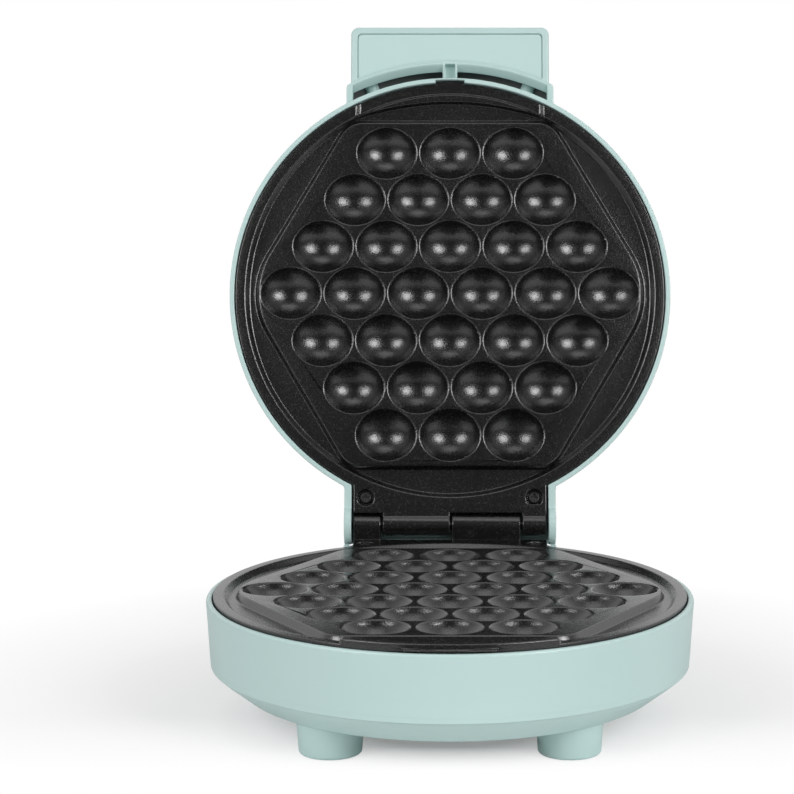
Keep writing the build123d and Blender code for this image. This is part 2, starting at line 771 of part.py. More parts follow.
# Lid housing: dome and tongue with a ledge, screw bosses, a front notch and an open hinge bay
with BuildPart() as lid_housing:
    lid_dome(0, lid_edge)
    add(lid_tongue.part)
    lid_dome(lid_wall, slab_depth, Mode.SUBTRACT)
    post(lid, 0, 0, lid_edge - rim_drop, slab_depth, wall_inner, Mode.SUBTRACT)
    prism_across(lid, -ear_inner, ear_inner, [
        (bay_start, -ear_radius), (bay_end, -ear_radius), (bay_end, slope_height(bay_end) - wall_drop),
        (bay_start, slope_height(bay_start) - wall_drop),
    ], Mode.SUBTRACT)
    prism_across(lid, -ear_inner, ear_inner, [
        (hinge_y, -ear_radius), (tongue_end + lid_wall, -ear_radius),
        (tongue_end + lid_wall, lip_edge_height), (hinge_y, lip_edge_height),
    ], Mode.SUBTRACT)
    revolve_profile(lid, [
        (ledge_inner, slab_depth), (ledge_inner, slab_depth + ledge_thickness),
        (wall_inner - wall_gap, slab_depth + ledge_thickness + ledge_width), (wall_inner, slab_depth),
    ])
    for x in (-plate_screw_x, plate_screw_x):
        post(lid, x, screw_y, slab_depth, slope_height(screw_y + boss_radius) - lid_wall / 2, boss_radius)
        post(lid, x, screw_y, slab_depth, slab_depth + plate_screw_length / 2, screw_radius + pilot_fit,
             Mode.SUBTRACT)
    with BuildSketch(lid.offset(lid_edge - rim_drop)):
        Circle(plate_radius + front_tab_reach + tab_clearance)
        with Locations((0, -plate_radius)):
            Rectangle(2 * (front_tab_half + tab_clearance), 2 * rim_width, mode=Mode.INTERSECT)
    extrude(amount=slab_depth + rim_drop - lid_edge, mode=Mode.SUBTRACT)
    # Seats and holes for the handle's screws
    for frame in handle_seats:
        rod_back(frame, 0, handle_screw_height, -handle_seat_radius, -lid_crease_radius + lid_wall / 2,
                 handle_boss_radius)
        rod_back(frame, 0, handle_screw_height, -handle_seat_radius, -lid_radius, screw_hole, Mode.SUBTRACT)
    # Recess, holes and posts of the indicator lamps
    with BuildSketch(lid.offset(lens_seat)):
        with Locations((0, lens_y)):
            SlotOverall(lens_spacing + 2 * lens_flange + 2 * lens_recess, 2 * (lens_flange + lens_recess))
    extrude(amount=lid_crown, mode=Mode.SUBTRACT)
    for s in (-1, 1):
        post(lid, s * lens_spacing / 2, lens_y, lamp_shelf, lens_seat, lens_radius + lens_fit, Mode.SUBTRACT)
        post(lid, s * lamp_post_x, lens_y, lamp_shelf, lens_seat - lid_wall / 2, handle_boss_radius)
        post(lid, s * lamp_post_x, lens_y, lamp_shelf, lamp_shelf + short_screw - lamp_holder_thickness,
             screw_radius + pilot_fit, Mode.SUBTRACT)
lid_housing.part.label = "lid_housing"
export_step(lid_housing.part, "parts/lid_housing.step")

# Pocket between the handle's flange and the lid's wall, with a grooved rib left in its middle
with BuildPart() as handle_pocket:
    revolve_profile(lid, [
        (lid_flat_radius, flange_face - flange_lip), (pocket_inner_radius, flange_face - flange_lip),
        (pocket_inner_radius, flange_face), (pocket_foot_radius, flange_face + pocket_foot_depth),
        (pocket_back_radius, flange_face + 2 * pocket_foot_depth), (pocket_back_radius, pocket_floor),
        (lid_flat_radius, pocket_floor),
    ])
    block(lid, 0, -flange_radius / 2, flange_face - flange_lip, pocket_floor,
          2 * (flange_half - pocket_end_wall), flange_radius, Mode.INTERSECT)
    block(lid, 0, -flange_radius / 2, flange_face, pocket_floor, 2 * rib_half, flange_radius, Mode.SUBTRACT)
    block(lid, 0, -pocket_inner_radius / 2, flange_face, flange_face + rib_groove_depth,
          2 * (rib_half - rib_wall), pocket_inner_radius)
    post(lid, 0, 0, flange_face, pocket_floor, lid_flat_radius, Mode.SUBTRACT)


# Dark liners on the floor of the pocket, one on each side of the rib
with BuildPart() as pocket_liners:
    add(handle_pocket.part)
    block(lid, 0, -flange_radius / 2, pocket_floor - liner_thickness, pocket_floor, 2 * flange_half,
          flange_radius, Mode.INTERSECT)
    post(lid, 0, 0, 0, lid_crease, liner_inner_radius, Mode.SUBTRACT)
    for frame in handle_seats:
        rod_back(frame, 0, handle_screw_height, -lid_flat_radius, -flange_radius,
                 handle_boss_radius + liner_fit, Mode.SUBTRACT)
pocket_liners.part.label = "pocket_liners"
export_step(pocket_liners.part, "parts/pocket_liners.step")


def cover_plan(margin):
    """Plan of the panel in the handle, made smaller by a margin."""
    half = handle_half - border_width - margin
    tip = handle_tip - border_width - margin
    with BuildSketch() as plan:
        with Locations((0, -tip / 2)):
            Rectangle(2 * half, tip)
        fillet(plan.vertices().group_by(Axis.Y)[0], handle_round / 2)
        Circle(flange_radius + cover_recess + margin, mode=Mode.SUBTRACT)
    return plan.sketch


# Handle: hollow grip and arc-shaped flange that fits around the lid's wall
with BuildPart() as handle:
    with BuildSketch(lid.offset(handle_face)) as grip:
        with Locations((0, -(handle_tip + lid_flat_radius) / 2)):
            Rectangle(2 * handle_half, handle_tip - lid_flat_radius)
        fillet(grip.vertices().group_by(Axis.Y)[0], handle_round)
    extrude(amount=handle_thickness)
    outer = handle.faces().sort_by(Axis(lid.origin, lid.z_dir))
    fillet(outer[0].edges() + outer[-1].edges(), handle_edge_round)
    with BuildSketch(lid.offset(flange_face)) as flange:
        Circle(flange_radius)
        with Locations((0, -(flange_radius + lid_flat_radius) / 2)):
            Rectangle(2 * flange_half, flange_radius - lid_flat_radius, mode=Mode.INTERSECT)
        shoulders = [v for v in flange.vertices() if sqrt(v.X ** 2 + v.Y ** 2) > lid_radius]
        fillet(shoulders, flange_round)
    extrude(amount=lid_crease - flange_face)
    add(handle_pocket.part, mode=Mode.SUBTRACT)
    for frame in handle_seats:
        rod_back(frame, 0, handle_screw_height, -lid_crease_radius, -pocket_back_radius, handle_boss_radius)
    lid_dome(-handle_fit, lid_edge - rim_drop, Mode.SUBTRACT)
    post(lid, 0, 0, lid_edge - rim_drop, lid_crease, lid_crease_radius + handle_fit, Mode.SUBTRACT)
    with BuildSketch(lid.offset(handle_face)):
        add(cover_plan(0))
    extrude(amount=cover_recess + cover_thickness, mode=Mode.SUBTRACT)
    with BuildSketch(lid.offset(handle_face)):
        add(cover_plan(cover_ledge))
    extrude(amount=handle_thickness - lid_wall, mode=Mode.SUBTRACT)
    for frame in handle_seats:
        rod_back(frame, 0, handle_screw_height, -lid_crease_radius, -lid_crease_radius - short_screw,
                 screw_radius + pilot_fit, Mode.SUBTRACT)
handle.part.label = "handle"
export_step(handle.part, "parts/handle.step")

# Panel that closes the grip on its plate side
with BuildPart() as handle_cover:
    with BuildSketch(lid.offset(handle_face + cover_recess)):
        add(cover_plan(cover_fit))
    extrude(amount=cover_thickness)
handle_cover.part.label = "handle_cover"
export_step(handle_cover.part, "parts/handle_cover.step")

# Screws that hold the handle, from inside the lid
with BuildPart() as handle_screws:
    for frame in handle_seats:
        seat = Plane(frame.location * Location((0, -handle_seat_radius, handle_screw_height), (-90, 0, 0)))
        screw(seat, lid_crease_radius - handle_seat_radius + short_screw)
handle_screws.part.label = "handle_screws"
export_step(handle_screws.part, "parts/handle_screws.step")


def heating_element(face):
    """Tubular ring pressed into the plate's groove, with two tails and their studs."""
    element_arc(face, element_radius)
    for x, y in element_ends():
        with Locations(face.location * Location((x, y, -element_depth))):
            Sphere(element_radius)
        post(face, x, y, -element_depth - element_tail, -element_depth, element_radius)
        post(face, x, y, -element_depth - element_tail - element_stud, -element_depth, element_stud_radius)


def reflector(face):
    """Sheet pan under a plate, with its rim turned towards it."""
    low = -reflector_depth - reflector_thickness
    rim_inner_radius = reflector_radius - reflector_thickness
    revolve_profile(face, [
        (0, low), (reflector_radius, low), (reflector_radius, low + reflector_rim),
        (rim_inner_radius, low + reflector_rim), (rim_inner_radius, -reflector_depth), (0, -reflector_depth),
    ])
    for x, y in element_ends():
        post(face, x, y, low, -reflector_depth, element_radius + reflector_hole_gap, Mode.SUBTRACT)
    for x, y in reflector_posts():
        post(face, x, y, low, -reflector_depth, screw_hole, Mode.SUBTRACT)
    with BuildSketch(moved(sensor_frame(face), 0, 0, low)) as opening:
        SlotOverall(sensor_pad_length, sensor_pad_width)
    extrude(opening.sketch, amount=reflector_thickness, mode=Mode.SUBTRACT)


def reflector_screws(face):
    """Three screws through a reflector into its posts."""
    for x, y in reflector_posts():
        screw(flipped(moved(face, x, y, -reflector_depth - reflector_thickness)),
              short_screw - reflector_thickness)


def disc_sensor(face, radius, height):
    """Disc thermostat against a plate's pad, with a flange and two blades."""
    seat = moved(sensor_frame(face), 0, 0, -sensor_pad_depth)
    with BuildSketch(moved(seat, 0, 0, -sensor_flange_thickness)) as flange_plan:
        SlotOverall(sensor_flange_length, sensor_flange_width)
    extrude(flange_plan.sketch, amount=sensor_flange_thickness)
    post(seat, 0, 0, -height, 0, radius)
    for x in (-sensor_screw_x, sensor_screw_x):
        post(seat, x, 0, -sensor_flange_thickness, 0, screw_hole, Mode.SUBTRACT)
    for s in (-1, 1):
        block(seat, 0, s * (radius + blade_length / 2), -height + blade_thickness,
              -height + 2 * blade_thickness, blade_width, blade_length + radius)


def sensor_screws(face):
    """Two screws through a sensor's flange."""
    for x in (-sensor_screw_x, sensor_screw_x):
        screw(flipped(moved(sensor_frame(face), x, 0, -sensor_pad_depth - sensor_flange_thickness)),
              short_screw - sensor_flange_thickness)


def plate_screws(face, length):
    """Two screws in their counterbores at the hinge end of a plate."""
    for x in (-plate_screw_x, plate_screw_x):
        screw(moved(face, x, screw_y, -rim_drop - counterbore_depth), length)


with BuildPart() as lower_heating_element:
    heating_element(lower_face)
lower_heating_element.part.label = "lower_heating_element"
export_step(lower_heating_element.part, "parts/lower_heating_element.step")

with BuildPart() as upper_heating_element:
    heating_element(upper_face)
upper_heating_element.part.label = "upper_heating_element"
export_step(upper_heating_element.part, "parts/upper_heating_element.step")

with BuildPart() as lower_reflector:
    reflector(lower_face)
lower_reflector.part.label = "lower_reflector"
export_step(lower_reflector.part, "parts/lower_reflector.step")

with BuildPart() as upper_reflector:
    reflector(upper_face)
upper_reflector.part.label = "upper_reflector"
export_step(upper_reflector.part, "parts/upper_reflector.step")

with BuildPart() as lower_reflector_screws:
    reflector_screws(lower_face)
lower_reflector_screws.part.label = "lower_reflector_screws"
export_step(lower_reflector_screws.part, "parts/lower_reflector_screws.step")

with BuildPart() as upper_reflector_screws:
    reflector_screws(upper_face)
upper_reflector_screws.part.label = "upper_reflector_screws"
export_step(upper_reflector_screws.part, "parts/upper_reflector_screws.step")

with BuildPart() as thermostat:
    disc_sensor(lower_face, thermostat_radius, thermostat_height)
thermostat.part.label = "thermostat"
export_step(thermostat.part, "parts/thermostat.step")

with BuildPart() as thermostat_screws:
    sensor_screws(lower_face)
thermostat_screws.part.label = "thermostat_screws"
export_step(thermostat_screws.part, "parts/thermostat_screws.step")

with BuildPart() as thermal_cutout:
    disc_sensor(upper_face, cutout_radius, cutout_height)
thermal_cutout.part.label = "thermal_cutout"
export_step(thermal_cutout.part, "parts/thermal_cutout.step")

with BuildPart() as thermal_cutout_screws:
    sensor_screws(upper_face)
thermal_cutout_screws.part.label = "thermal_cutout_screws"
export_step(thermal_cutout_screws.part, "parts/thermal_cutout_screws.step")

with BuildPart() as lower_plate_screws:
    plate_screws(lower_face, screw_grip + plate_screw_length - pin_stand)
lower_plate_screws.part.label = "lower_plate_screws"
export_step(lower_plate_screws.part, "parts/lower_plate_screws.step")

with BuildPart() as upper_plate_screws:
    plate_screws(upper_face, screw_grip + plate_screw_length / 2 - pin_stand)
upper_plate_screws.part.label = "upper_plate_screws"
export_step(upper_plate_screws.part, "parts/upper_plate_screws.step")

# Terminal block on its posts, with a bore for each pole
terminal_seat = moved(base, 0, terminal_y, floor_top + terminal_stand)
with BuildPart() as terminal_block:
    block(terminal_seat, 0, 0, 0, terminal_height / 2, terminal_length, terminal_width)
    block(terminal_seat, 0, 0, terminal_height / 2, terminal_height,
          2 * (terminal_x - head_radius - terminal_head_gap), terminal_width)
    for s in (-1, 1):
        post(terminal_seat, s * terminal_x, 0, 0, terminal_height / 2, screw_hole, Mode.SUBTRACT)
    for k in range(terminal_poles):
        x = (k - (terminal_poles - 1) / 2) * terminal_pole_pitch
        rod_back(terminal_seat, x, terminal_bore_height, -terminal_width / 2, terminal_width / 2,
                 terminal_bore, Mode.SUBTRACT)
terminal_block.part.label = "terminal_block"
export_step(terminal_block.part, "parts/terminal_block.step")

with BuildPart() as terminal_screws:
    for s in (-1, 1):
        screw(moved(terminal_seat, s * terminal_x, 0, terminal_height / 2),
              terminal_height / 2 + terminal_stand - pin_stand)
terminal_screws.part.label = "terminal_screws"
export_step(terminal_screws.part, "parts/terminal_screws.step")

# Cord gland through the rear wall, and its nut inside
with BuildPart() as cord_gland:
    rod_back(base, 0, gland_height, gland_nut_face - gland_tail, rear_y, gland_radius)
    rod_back(base, 0, gland_height, rear_y, rear_y + gland_flange_thickness, gland_flange)
    fillet(cord_gland.edges().filter_by(GeomType.CIRCLE).sort_by(Axis.Y)[-1], gland_flange_thickness / 2)
    rod_back(base, 0, gland_height, gland_nut_face - gland_tail, rear_y + gland_flange_thickness, gland_bore,
             Mode.SUBTRACT)
cord_gland.part.label = "cord_gland"
export_step(cord_gland.part, "parts/cord_gland.step")

with BuildPart() as cord_gland_nut:
    with BuildSketch(section(moved(base, 0, gland_nut_face, gland_height))):
        RegularPolygon(gland_flange, 6)
        Circle(gland_radius + pin_fit, mode=Mode.SUBTRACT)
    extrude(amount=-gland_nut_thickness)
cord_gland_nut.part.label = "cord_gland_nut"
export_step(cord_gland_nut.part, "parts/cord_gland_nut.step")


def lamp_lens(x):
    """Lens with a flange on the lid and a hollow stem through it."""
    post(lid, x, lens_y, lens_seat, lens_seat + lens_flange_thickness, lens_flange)
    post(lid, x, lens_y, lens_seat - lens_length, lens_seat, lens_radius)
    post(lid, x, lens_y, lens_seat - lens_length, lens_seat - lens_wall, lens_radius - lens_wall,
         Mode.SUBTRACT)


with BuildPart() as power_lamp_lens:
    lamp_lens(-lens_spacing / 2)
power_lamp_lens.part.label = "power_lamp_lens"
export_step(power_lamp_lens.part, "parts/power_lamp_lens.step")

with BuildPart() as ready_lamp_lens:
    lamp_lens(lens_spacing / 2)
ready_lamp_lens.part.label = "ready_lamp_lens"
export_step(ready_lamp_lens.part, "parts/ready_lamp_lens.step")

# Shelf under the lenses with its two lamps and screws
with BuildPart() as lamp_holder:
    with BuildSketch(lid.offset(lamp_shelf - lamp_holder_thickness)):
        with Locations((0, lens_y)):
            SlotOverall(2 * lamp_post_x + lamp_holder_width, lamp_holder_width)
    extrude(amount=lamp_holder_thickness)
    for s in (-1, 1):
        post(lid, s * lamp_post_x, lens_y, lamp_shelf - lamp_holder_thickness, lamp_shelf, screw_hole,
             Mode.SUBTRACT)
lamp_holder.part.label = "lamp_holder"
export_step(lamp_holder.part, "parts/lamp_holder.step")

with BuildPart() as indicator_lamps:
    for s in (-1, 1):
        post(lid, s * lens_spacing / 2, lens_y, lamp_shelf, lamp_shelf + lamp_length, lamp_radius)
indicator_lamps.part.label = "indicator_lamps"
export_step(indicator_lamps.part, "parts/indicator_lamps.step")

with BuildPart() as lamp_holder_screws:
    for s in (-1, 1):
        screw(flipped(moved(lid, s * lamp_post_x, lens_y, lamp_shelf - lamp_holder_thickness)),
              short_screw - pin_stand)
lamp_holder_screws.part.label = "lamp_holder_screws"
export_step(lamp_holder_screws.part, "parts/lamp_holder_screws.step")
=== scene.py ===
import json
import math

import bpy
from bpy.props import FloatProperty, FloatVectorProperty, PointerProperty
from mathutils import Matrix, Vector
from mathutils.bvhtree import BVHTree


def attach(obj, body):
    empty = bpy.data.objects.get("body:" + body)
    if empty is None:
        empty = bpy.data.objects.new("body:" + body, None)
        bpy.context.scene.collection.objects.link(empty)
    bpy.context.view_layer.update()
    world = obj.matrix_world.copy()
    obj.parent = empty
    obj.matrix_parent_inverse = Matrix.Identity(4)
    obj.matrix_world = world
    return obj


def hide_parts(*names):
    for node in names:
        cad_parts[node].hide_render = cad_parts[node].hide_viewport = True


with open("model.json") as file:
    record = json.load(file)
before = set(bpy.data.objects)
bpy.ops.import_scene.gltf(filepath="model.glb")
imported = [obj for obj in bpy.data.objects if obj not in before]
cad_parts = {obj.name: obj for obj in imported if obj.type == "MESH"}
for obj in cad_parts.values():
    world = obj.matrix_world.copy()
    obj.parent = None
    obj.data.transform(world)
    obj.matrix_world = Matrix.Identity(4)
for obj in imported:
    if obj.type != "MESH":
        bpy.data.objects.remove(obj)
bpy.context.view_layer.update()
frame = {"nodes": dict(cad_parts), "record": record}

bl_info = {
    "name": "Bubble Waffle Maker",
    "version": (1, 0, 0),
    "blender": (4, 5, 0),
    "location": "View3D > Sidebar > Waffle Maker",
    "description": "Finishes of a round bubble waffle maker around its packed frame",
    "category": "Object",
}

MM = 0.001
WELD = 0.002 * MM
SHARP_ANGLE = math.radians(32)
SMOOTH_ANGLE = math.radians(42)
BEVEL_SEGMENTS = 2
FACE_WEIGHT = 80
SENSOR_WIDTH = 36
PICTURE_WIDTH = 794
PICTURE_SHIFT = -53
FLOOR_SIZE = 60
FLOOR_DIM = (0.15, 0.15, 0.15, 1)
FLOOR_PALE = (0.93, 0.93, 0.93, 1)
WHITE = (1, 1, 1, 1)
LAMP_TARGET = (0, 0.05, 0.13)
RIGHT_SOFTBOX = (0.95, -1.0, 0.875)
LEFT_SOFTBOX = (-0.97, -0.98, 0.875)
TOP_SOFTBOX = (0, -0.3, 1.5)
TOP_SOFTBOX_SIZE = (0.9, 0.5)
BACKDROP_START = -0.5
BACKDROP_END = 0.3
NODES = frame["nodes"]
BODY_OF = {
    node: body
    for body, nodes in frame["record"]["behaviour"]["bodies"].items()
    for node in nodes
}


class FinishSettings(bpy.types.PropertyGroup):
    """Colours and surface qualities of the waffle maker."""

    mint: FloatVectorProperty(
        name="Mint", description="Colour of the moulded shells", subtype="COLOR", size=4,
        min=0, max=1, default=(0.500, 0.665, 0.645, 1),
    )
    mint_roughness: FloatProperty(
        name="Mint roughness", description="Roughness of the moulded shells", default=0.36, min=0, max=1,
    )
    coating: FloatVectorProperty(
        name="Coating", description="Colour of the non-stick coating", subtype="COLOR", size=4,
        min=0, max=1, default=(0.0022, 0.0020, 0.0020, 1),
    )
    coating_roughness: FloatProperty(
        name="Coating roughness", description="Roughness of the non-stick coating", default=0.26,
        min=0, max=1,
    )


class ShapeSettings(bpy.types.PropertyGroup):
    """Sizes of the small roundings that the frame leaves to the finish."""

    shell_edge: FloatProperty(
        name="Shell edge", description="Rounding of the moulded shells' edges", default=0.5 * MM,
        unit="LENGTH", min=0,
    )
    plate_edge: FloatProperty(
        name="Plate edge", description="Rounding of the cast plates' edges", default=0.6 * MM,
        unit="LENGTH", min=0,
    )
    metal_edge: FloatProperty(
        name="Metal edge", description="Rounding of small metal pieces' edges", default=0.12 * MM,
        unit="LENGTH", min=0,
    )


class StageSettings(bpy.types.PropertyGroup):
    """Camera and lamps."""

    lens: FloatProperty(
        name="Lens", description="Focal length on a 36 mm sensor, in millimetres", default=125.1, min=1,
    )
    camera_back: FloatProperty(
        name="Camera distance", description="Distance of the camera in front of the plate's centre",
        default=1.231, unit="LENGTH",
    )
    camera_height: FloatProperty(
        name="Camera height", description="Height of the camera above the worktop", default=0.348,
        unit="LENGTH",
    )
    camera_pitch: FloatProperty(
        name="Camera pitch", description="How far the camera looks down", default=math.radians(9.19),
        subtype="ANGLE",
    )
    key_power: FloatProperty(
        name="Key power", description="Power of the right softbox", default=13.5, unit="POWER",
    )
    fill_power: FloatProperty(
        name="Fill power", description="Power of the left softbox", default=10.5, unit="POWER",
    )
    softbox_size: FloatProperty(
        name="Softbox size", description="Side of the square softboxes", default=0.66, unit="LENGTH",
        min=0.01,
    )
    room_light: FloatProperty(
        name="Room light", description="Strength of the light that the room throws on the object",
        default=0.24, min=0,
    )
    front_light: FloatProperty(
        name="Front light", description="Strength of the room in front, as gloss shows it", default=0.02,
        min=0,
    )
    top_power: FloatProperty(
        name="Top power", description="Power of the overhead softbox", default=1.7, unit="POWER",
    )


class Link:
    """A socket that sums can be written on."""

    def __init__(self, finish, socket):
        self.finish = finish
        self.socket = socket

    def __add__(self, other):
        return self.finish.maths("ADD", self, other)

    def __radd__(self, other):
        return self.finish.maths("ADD", other, self)

    def __sub__(self, other):
        return self.finish.maths("SUBTRACT", self, other)

    def __rsub__(self, other):
        return self.finish.maths("SUBTRACT", other, self)

    def __mul__(self, other):
        return self.finish.maths("MULTIPLY", self, other)

    def __rmul__(self, other):
        return self.finish.maths("MULTIPLY", other, self)


class Finish:
    """A material that is built node by node on its own Principled shader."""

    def __init__(self, name, **fixed):
        self.material = bpy.data.materials.new(name)
        self.material.use_nodes = True
        self.tree = self.material.node_tree
        self.shader = self.tree.nodes["Principled BSDF"]
        for key, value in fixed.items():
            self.shader.inputs[key.replace("_", " ").title().replace("Ior", "IOR")].default_value = value
        self.place = self.node("ShaderNodeTexCoord", output="Object")

    def node(self, kind, settings=None, inputs=None, output=0):
        """A new node with its settings, and the values or links of its sockets."""
        made = self.tree.nodes.new(kind)
        for key, value in (settings or {}).items():
            if key == "stops":
                while len(made.color_ramp.elements) < len(value):
                    made.color_ramp.elements.new(0.5)
                for stop, (position, colour) in zip(made.color_ramp.elements, value):
                    stop.position = position
                    stop.color = colour
            else:
                setattr(made, key, value)
        for key, value in (inputs or {}).items():
            if isinstance(value, Link):
                self.tree.links.new(value.socket, made.inputs[key])
            else:
                made.inputs[key].default_value = value
        return Link(self, made.outputs[output])

    def maths(self, operation, first, second):
        """One Math node on two values or links."""
        return self.node("ShaderNodeMath", {"operation": operation}, {0: first, 1: second})

    def noise(self, size, detail, stretch=(1, 1, 1)):
        """Noise whose lumps are about a size in metres across."""
        placed = self.node("ShaderNodeMapping", None, {"Vector": self.place, "Scale": stretch})
        return self.node("ShaderNodeTexNoise", None, {"Vector": placed, "Scale": 1 / size, "Detail": detail})

    def band(self, value, low, high):
        """The value spread from 0 at low to 1 at high."""
        return self.node("ShaderNodeMapRange", {"clamp": True}, {
            "Value": value, "From Min": low, "From Max": high,
        })

    def mix(self, factor, first, second):
        """A colour between two colours or links."""
        return self.node("ShaderNodeMix", {"data_type": "RGBA"}, {0: factor, 6: first, 7: second}, 2)

    def bump(self, height, distance, strength):
        """A normal from a height field of a depth in metres."""
        return self.node("ShaderNodeBump", None, {
            "Height": height, "Distance": distance, "Strength": strength,
        })

    def feed(self, **links):
        """Joins what varies to the shader's sockets."""
        for key, link in links.items():
            self.tree.links.new(link.socket, self.shader.inputs[key.replace("_", " ").title()])
        return self.material


def tint(colour, factor):
    """The colour made lighter or darker."""
    return tuple(min(1.0, c * factor) for c in colour[:3]) + (1.0,)


def mint_plastic(settings):
    """Satin moulded plastic with a soft orange peel and faint flow clouds."""
    made = Finish("mint_plastic", specular_ior_level=0.5, coat_weight=0.12, coat_roughness=0.25)
    clouds = made.noise(0.06, 3)
    grain = made.noise(0.0009, 2)
    peel = made.noise(0.004, 2)
    return made.feed(
        base_color=made.mix(clouds, tint(settings.mint, 0.97), tint(settings.mint, 1.03)),
        roughness=settings.mint_roughness - 0.05 + 0.1 * clouds + 0.04 * grain,
        normal=made.bump(0.35 * grain + peel, 0.00006, 0.5),
    )


def mint_matte(settings):
    """The same plastic with a fine spark-eroded texture."""
    made = Finish("mint_matte", specular_ior_level=0.45)
    clouds = made.noise(0.05, 3)
    grain = made.noise(0.0006, 3)
    return made.feed(
        base_color=made.mix(clouds, tint(settings.mint, 0.98), tint(settings.mint, 1.03)),
        roughness=settings.mint_roughness + 0.14 + 0.06 * grain,
        normal=made.bump(grain, 0.00006, 0.6),
    )


def nonstick(settings):
    """Black non-stick coating on cast aluminium, with grey flecks and a sprayed skin."""
    made = Finish("nonstick", ior=1.8, specular_ior_level=0.5)
    clouds = made.noise(0.03, 3)
    skin = made.noise(0.0008, 3)
    fleck_field = made.node("ShaderNodeTexVoronoi", {"feature": "F1"}, {"Vector": made.place, "Scale": 900.0})
    fleck_pick = made.noise(0.0014, 1)
    flecks = (1 - made.band(fleck_field, 0.15, 0.42)) * made.band(fleck_pick, 0.4, 0.58)
    dark = made.mix(clouds, tint(settings.coating, 0.8), tint(settings.coating, 1.3))
    return made.feed(
        base_color=made.mix(flecks * 0.4, dark, (0.075, 0.072, 0.07, 1)),
        roughness=settings.coating_roughness - 0.06 + 0.06 * clouds + 0.07 * skin,
        normal=made.bump(skin, 0.00009, 0.9),
    )


def bright_steel():
    """Plated steel with fine turning marks."""
    made = Finish("bright_steel", metallic=1.0)
    grain = made.noise(0.0004, 3, (1, 1, 6))
    clouds = made.noise(0.006, 2)
    return made.feed(
        base_color=made.mix(clouds, (0.42, 0.42, 0.43, 1), (0.58, 0.58, 0.59, 1)),
        roughness=0.22 + 0.14 * grain + 0.08 * clouds,
        normal=made.bump(grain, 0.00002, 0.4),
    )


def dark_steel():
    """Blackened steel, brighter where the tool has touched it."""
    made = Finish("dark_steel", metallic=0.8)
    grain = made.noise(0.0005, 3)
    clouds = made.noise(0.003, 2)
    return made.feed(
        base_color=made.mix(clouds, (0.03, 0.03, 0.031, 1), (0.08, 0.08, 0.082, 1)),
        roughness=0.32 + 0.16 * grain,
        normal=made.bump(grain, 0.00003, 0.5),
    )


def element_steel():
    """Sheathed heater tube, browned and blued by heat."""
    made = Finish("element_steel", metallic=0.9)
    heat = made.noise(0.03, 3)
    scale = made.noise(0.0012, 4)
    colour = made.node("ShaderNodeValToRGB", {"stops": (
        (0.3, (0.16, 0.14, 0.13, 1)), (0.5, (0.24, 0.18, 0.13, 1)), (0.7, (0.13, 0.14, 0.19, 1)),
    )}, {"Fac": heat})
    return made.feed(
        base_color=colour,
        roughness=0.38 + 0.2 * scale,
        normal=made.bump(scale, 0.00005, 0.5),
    )


def sheet_metal():
    """Mill-finish aluminium sheet with a rolling grain."""
    made = Finish("sheet_metal", metallic=1.0)
    grain = made.noise(0.0012, 4, (0.05, 1, 1))
    clouds = made.noise(0.05, 2)
    return made.feed(
        base_color=made.mix(clouds, (0.66, 0.67, 0.68, 1), (0.76, 0.77, 0.78, 1)),
        roughness=0.3 + 0.16 * grain,
        normal=made.bump(grain, 0.00002, 0.4),
    )


def moulded(name, colour, roughness):
    """Plain moulded plastic or rubber with a fine grain."""
    made = Finish(name, specular_ior_level=0.4)
    clouds = made.noise(0.02, 2)
    grain = made.noise(0.0007, 3)
    return made.feed(
        base_color=made.mix(clouds, tint(colour, 0.92), tint(colour, 1.08)),
        roughness=roughness + 0.12 * grain,
        normal=made.bump(grain, 0.00005, 0.6),
    )


def lamp_lens(name, colour):
    """Clear tinted lens."""
    made = Finish(name, transmission_weight=0.55, ior=1.49, coat_weight=0.4)
    clouds = made.noise(0.004, 2)
    return made.feed(
        base_color=made.mix(clouds, tint(colour, 0.85), tint(colour, 1.1)),
        roughness=0.12 + 0.08 * clouds,
        normal=made.bump(clouds, 0.00003, 0.3),
    )


def finish_of(name):
    """One finish, made the first time that it is asked for."""
    settings = bpy.context.scene.waffle_finish
    makers = {
        "mint_plastic": lambda: mint_plastic(settings),
        "mint_matte": lambda: mint_matte(settings),
        "nonstick": lambda: nonstick(settings),
        "bright_steel": bright_steel,
        "dark_steel": dark_steel,
        "element_steel": element_steel,
        "sheet_metal": sheet_metal,
        "foot_rubber": lambda: moulded("foot_rubber", (0.03, 0.03, 0.031), 0.7),
        "terminal_plastic": lambda: moulded("terminal_plastic", (0.75, 0.73, 0.67), 0.45),
        # Black plastic of the cord gland; the same finish on the pocket liners is painted shade
        "gland_plastic": lambda: moulded("gland_plastic", (0.02, 0.02, 0.02), 0.45),
        "red_lens": lambda: lamp_lens("red_lens", (0.72, 0.05, 0.03)),
        "green_lens": lambda: lamp_lens("green_lens", (0.05, 0.5, 0.16)),
        "lamp_glass": lambda: lamp_lens("lamp_glass", (0.9, 0.72, 0.5)),
    }
    return bpy.data.materials.get(name) or makers[name]()


def paint(piece, finish):
    """Gives every face of a piece one finish."""
    piece.data.materials.clear()
    piece.data.materials.append(finish_of(finish))


def select_only(piece):
    """Makes a piece the one selected, active object."""
    bpy.ops.object.select_all(action="DESELECT")
    piece.select_set(True)
    bpy.context.view_layer.objects.active = piece


def welded_copy(node, name):
    """A copy of a node's mesh with its triangles joined."""
    piece = bpy.data.objects.new(name, NODES[node].data.copy())
    bpy.context.scene.collection.objects.link(piece)
    select_only(piece)
    bpy.ops.object.mode_set(mode="EDIT")
    bpy.ops.mesh.select_all(action="SELECT")
    bpy.ops.mesh.remove_doubles(threshold=WELD)
    bpy.ops.object.mode_set(mode="OBJECT")
    return piece


